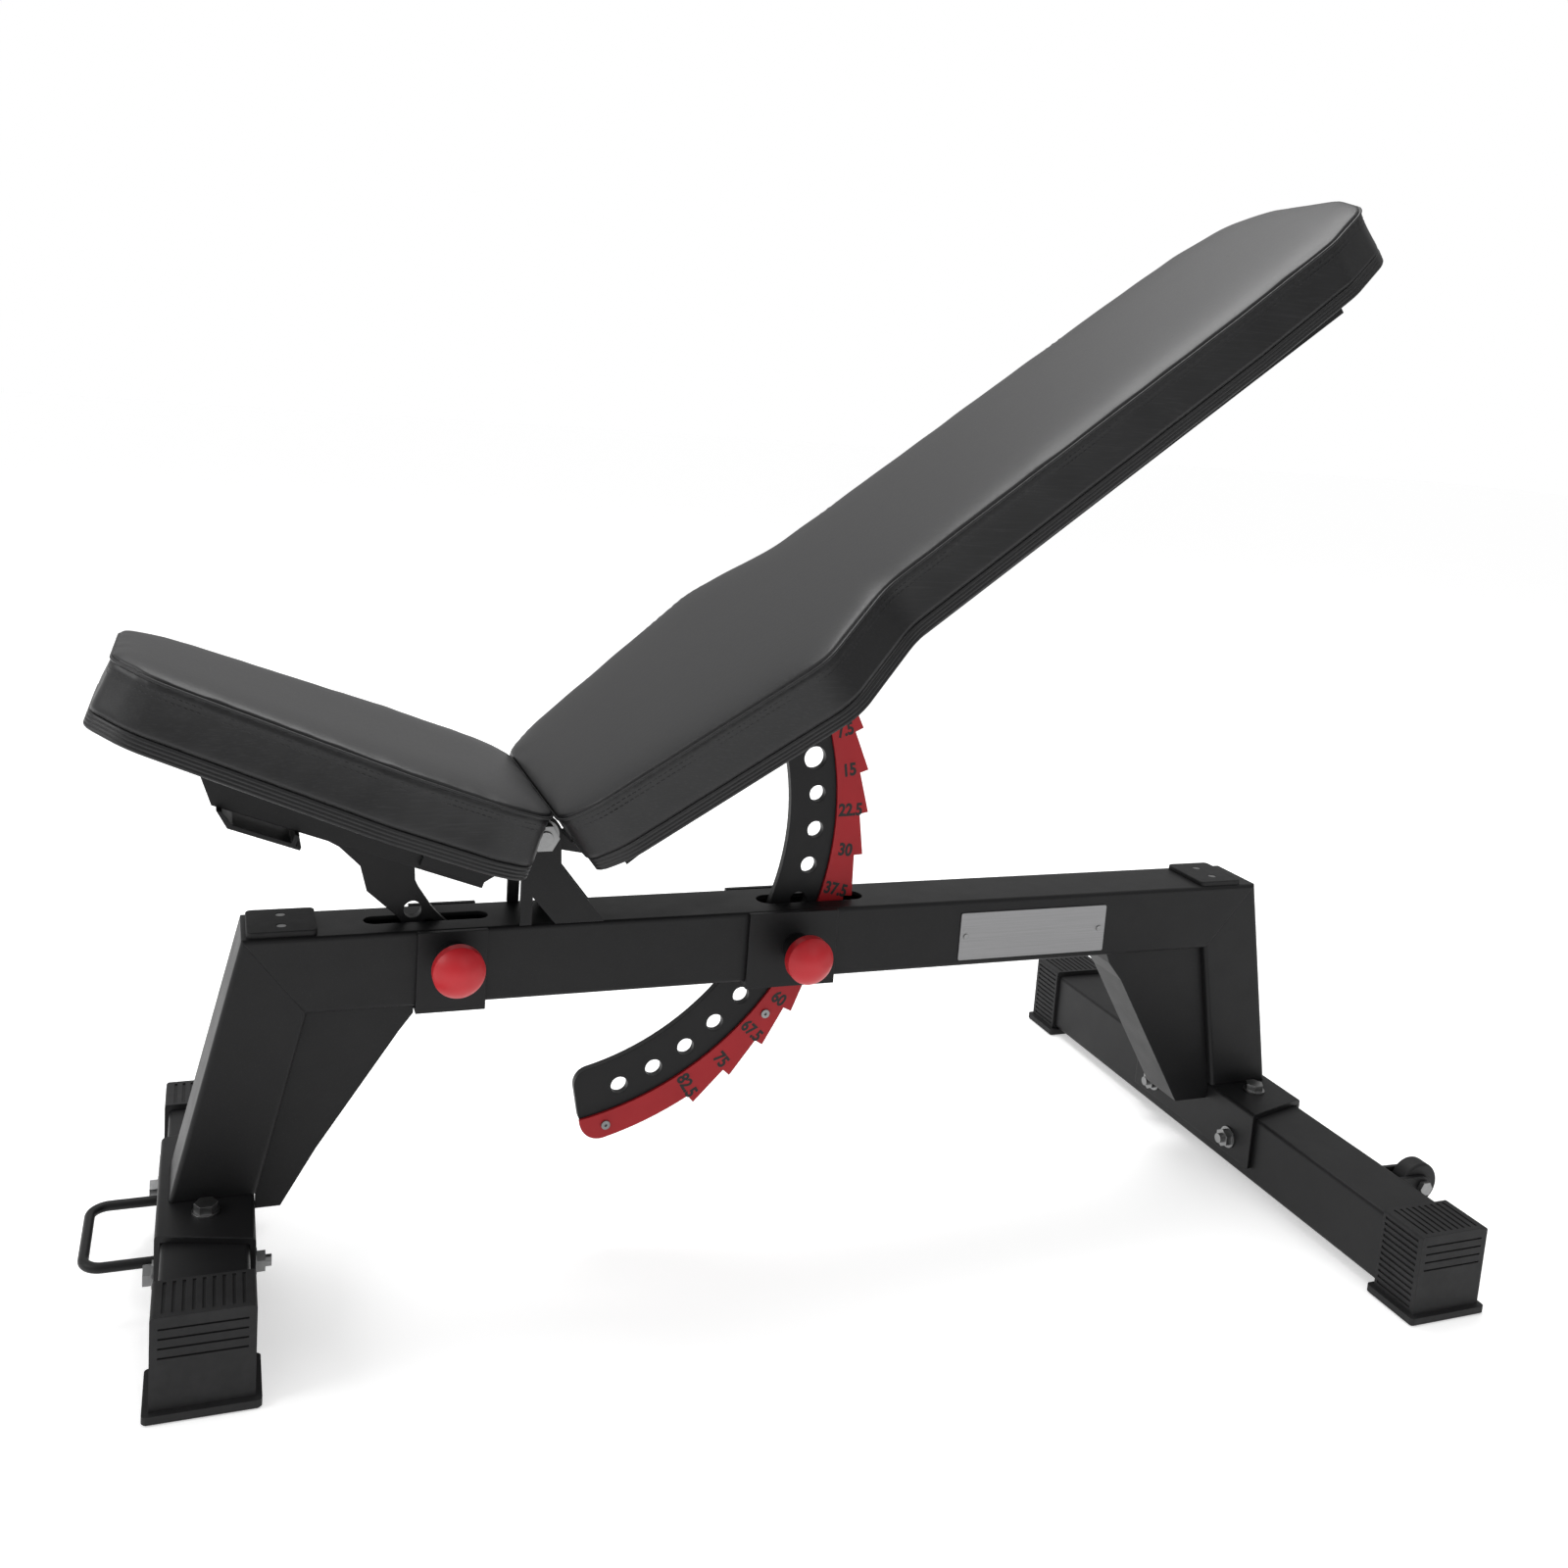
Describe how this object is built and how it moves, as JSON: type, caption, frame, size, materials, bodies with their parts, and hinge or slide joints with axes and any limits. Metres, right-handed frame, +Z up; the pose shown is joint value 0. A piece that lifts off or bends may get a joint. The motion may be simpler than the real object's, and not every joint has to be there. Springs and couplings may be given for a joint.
{
  "type": "adjustable weight bench",
  "caption": "Adjustable incline weight bench with a hinged padded backrest and seat on a steel frame, toothed angle quadrant, pull pins and transport wheels.",
  "frame": {"origin": "floor level, at the centre of the object's bounding box as built (backrest at 37.5 degrees, seat at 20 degrees)", "axes": "+X from the seat end to the head end, +Y to the far side away from the pull pins, +Z up"},
  "size_m": [1.2834, 0.706, 1.0535],
  "materials": {
    "vinyl": "smooth semi-gloss upholstery vinyl",
    "board_cover": "satin wrapped board",
    "rubber": "matt moulded rubber",
    "wheel_rubber": "matt",
    "red_plastic": "satin red plastic",
    "red_paint": "satin red powder coat",
    "brushed_plate": "brushed",
    "bronze": "sintered bronze",
    "zinc_steel": "bright zinc plate",
    "black_powder_coat": "fine-textured satin black powder coat"
  },
  "bodies": {
    "frame": {"back_pin_collar": "black_powder_coat", "back_pin_housing": "black_powder_coat", "back_pin_spring": "zinc_steel", "bumper_screws": "zinc_steel", "carry_handle": "black_powder_coat", "crossbar_bolts": "zinc_steel", "crossbar_nuts": "zinc_steel", "front_bumper": "rubber", "front_crossbar": "black_powder_coat", "front_foot_cap_far": "rubber", "front_foot_cap_near": "rubber", "front_gusset": "black_powder_coat", "front_leg": "black_powder_coat", "front_saddle": "black_powder_coat", "hinge_cheek_far": "black_powder_coat", "hinge_cheek_near": "black_powder_coat", "main_beam": "black_powder_coat", "name_plate": "brushed_plate", "name_rivets": "zinc_steel", "pivot_bolt": "zinc_steel", "pivot_nuts": "zinc_steel", "rear_bumper": "rubber", "rear_crossbar": "black_powder_coat", "rear_foot_cap_far": "rubber", "rear_foot_cap_near": "rubber", "rear_gusset": "black_powder_coat", "rear_post": "black_powder_coat", "rear_saddle": "black_powder_coat", "saddle_bolts": "zinc_steel", "seat_pin_collar": "black_powder_coat", "seat_pin_housing": "black_powder_coat", "seat_pin_spring": "zinc_steel", "wheel_axles": "zinc_steel", "wheel_ears": "black_powder_coat"},
    "backrest": {"angle_scale": "red_paint", "back_board": "board_cover", "back_cross_plates": "black_powder_coat", "back_frame_tube": "black_powder_coat", "back_hinge_arms": "black_powder_coat", "back_hinge_barrel": "black_powder_coat", "back_hinge_bushes": "bronze", "back_pad": "vinyl", "back_pad_screws": "zinc_steel", "quadrant_plate": "black_powder_coat", "scale_screws": "zinc_steel"},
    "seat": {"seat_board": "board_cover", "seat_cross_plates": "black_powder_coat", "seat_frame_tube": "black_powder_coat", "seat_grip": "black_powder_coat", "seat_hinge_arms": "black_powder_coat", "seat_ladder": "black_powder_coat", "seat_pad": "vinyl", "seat_pad_screws": "zinc_steel"},
    "back_pin": {"back_pin_plunger": "zinc_steel", "back_pin_knob": "red_plastic"},
    "seat_pin": {"seat_pin_plunger": "zinc_steel", "seat_pin_knob": "red_plastic"},
    "near_wheel": {"wheel_near": "wheel_rubber"},
    "far_wheel": {"wheel_far": "wheel_rubber"}
  },
  "joints": [
    {"name": "backrest_tilt", "type": "hinge", "parent": "frame", "child": "backrest", "pos_m": [-0.26025, 0, 0.404], "axis": [0, -1, 0], "range_deg": [-37.5, 45]},
    {"name": "seat_tilt", "type": "hinge", "parent": "frame", "child": "seat", "pos_m": [-0.26025, 0, 0.404], "axis": [0, 1, 0], "range_deg": [-20, 0]},
    {"name": "back_pin_pull", "type": "slide", "parent": "frame", "child": "back_pin", "axis": [0, -1, 0], "range_m": [0, 0.01], "stiffness_N_per_m": 800, "springref_m": -0.008},
    {"name": "seat_pin_pull", "type": "slide", "parent": "frame", "child": "seat_pin", "axis": [0, -1, 0], "range_m": [0, 0.01], "stiffness_N_per_m": 800, "springref_m": -0.008},
    {"name": "near_wheel_spin", "type": "hinge", "parent": "frame", "child": "near_wheel", "pos_m": [0.61975, -0.228, 0.065], "axis": [0, 1, 0], "continuous": true},
    {"name": "far_wheel_spin", "type": "hinge", "parent": "frame", "child": "far_wheel", "pos_m": [0.61975, 0.228, 0.065], "axis": [0, 1, 0], "continuous": true}
  ]
}
